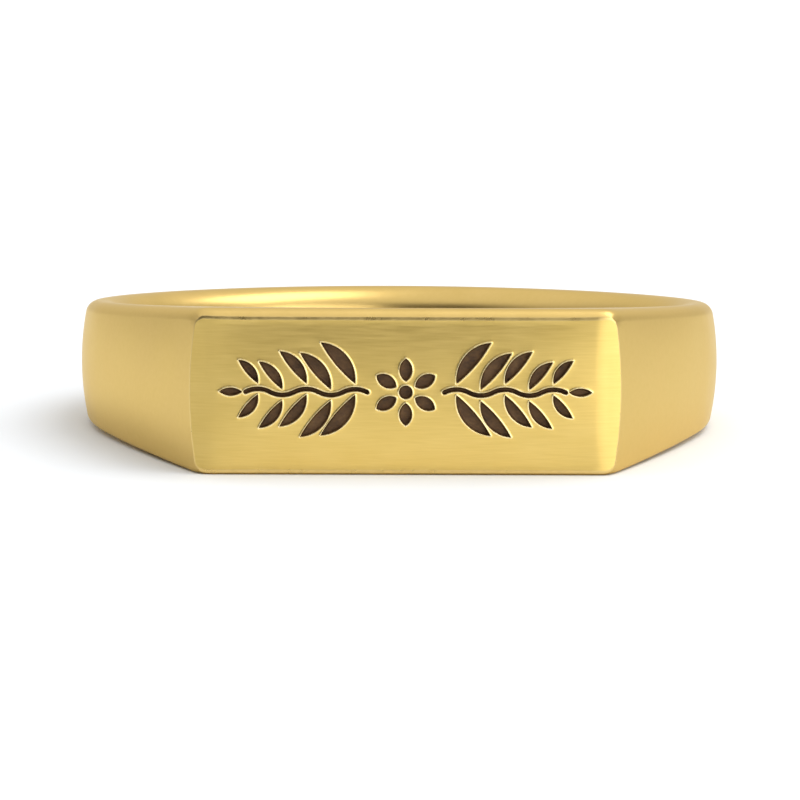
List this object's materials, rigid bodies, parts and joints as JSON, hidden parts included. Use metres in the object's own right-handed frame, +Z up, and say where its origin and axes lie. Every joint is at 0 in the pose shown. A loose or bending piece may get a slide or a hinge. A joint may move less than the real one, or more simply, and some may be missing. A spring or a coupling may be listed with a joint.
{
  "type": "bar ring",
  "caption": "Finger ring with a flat rectangular bar in front, bowed shoulders, a round band and an engraved leaf ornament.",
  "frame": {"origin": "middle of the ring's footprint on the surface it lies on", "axes": "+Z up with the ring lying on its lower rim, the flat bar faces -Y, +X runs along the bar"},
  "size_m": [0.0202, 0.0202, 0.005],
  "materials": {
    "satin_gold": "satin yellow gold, the bar brushed lengthwise, engraved cuts darkened"
  },
  "bodies": {
    "root": {"bar_ring": "satin_gold"}
  },
  "joints": []
}
